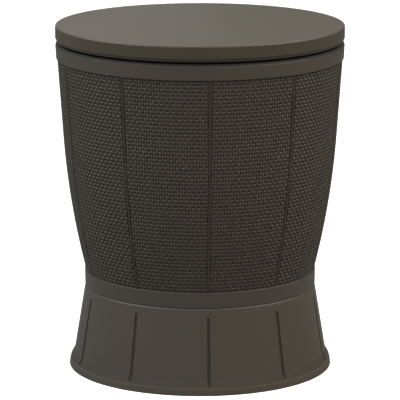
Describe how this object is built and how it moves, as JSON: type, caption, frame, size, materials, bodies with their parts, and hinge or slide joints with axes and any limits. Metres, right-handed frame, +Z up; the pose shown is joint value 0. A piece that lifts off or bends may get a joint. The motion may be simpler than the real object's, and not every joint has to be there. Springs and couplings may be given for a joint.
{
  "type": "cooler table with lid",
  "caption": "Round patio cooler table: ice bucket in a wicker-look barrel on a flared base, under a tabletop lid that lifts on a centre post and twists to lock.",
  "frame": {"origin": "centre of the foot on the ground, on the upright axis of the barrel and the column", "axes": "+Z up along the column, -Y towards the viewer of the picture (front), +X to that viewer's right; the drain is at the back, 14 degrees from +Y towards +X"},
  "size_m": [0.4908, 0.4908, 0.5904],
  "materials": {
    "lid_plastic": "satin",
    "shell_plastic": "satin",
    "wicker_plastic": "satin",
    "column_plastic": "satin",
    "bearing_plastic": "satin",
    "drain_plastic": "satin",
    "seal_rubber": "matte",
    "screw_steel": "satin"
  },
  "bodies": {
    "cooler_body": {"base_skirt": "shell_plastic", "base_deck": "shell_plastic", "barrel_shell": "wicker_plastic", "rim_band": "shell_plastic", "ice_bucket": "shell_plastic", "bucket_stand": "shell_plastic", "shell_screws": "screw_steel", "bucket_screws": "screw_steel", "column_tube": "column_plastic", "column_gasket": "seal_rubber", "column_nut": "column_plastic", "latch_ring": "bearing_plastic", "column_collar": "column_plastic", "collar_screws": "screw_steel", "drain_spout": "drain_plastic", "drain_gasket": "seal_rubber", "drain_nut": "drain_plastic"},
    "glide": {"glide_ring": "bearing_plastic"},
    "tabletop": {"lift_post": "column_plastic", "lock_pin": "screw_steel", "post_plug": "bearing_plastic", "lid_socket": "column_plastic", "post_screws": "screw_steel", "socket_screws": "screw_steel", "lid_bottom": "lid_plastic", "lid_seal": "seal_rubber", "lid_top": "lid_plastic", "lid_screws": "screw_steel"},
    "seal": {"cap_seal": "seal_rubber"},
    "cap": {"drain_cap": "drain_plastic"}
  },
  "joints": [
    {"name": "top_lift", "type": "slide", "parent": "cooler_body", "child": "glide", "axis": [0, 0, 1], "range_m": [0, 0.25]},
    {"name": "top_turn", "type": "hinge", "parent": "glide", "child": "tabletop", "pos_m": [0, 0, 0.22], "axis": [0, 0, 1], "range_deg": [0, 90]},
    {"name": "cap_travel", "type": "slide", "parent": "cooler_body", "child": "seal", "axis": [0.2419, 0.9703, 0], "range_m": [0, 0.01]},
    {"name": "cap_turn", "type": "hinge", "parent": "seal", "child": "cap", "pos_m": [0.05371, 0.21541, 0.1905], "axis": [0.2419, 0.9703, 0], "range_deg": [0, 900]}
  ],
  "couplings": [
    {"joint": "cap_travel", "follows": "cap_turn", "m_per_rad": 0.00063661}
  ]
}
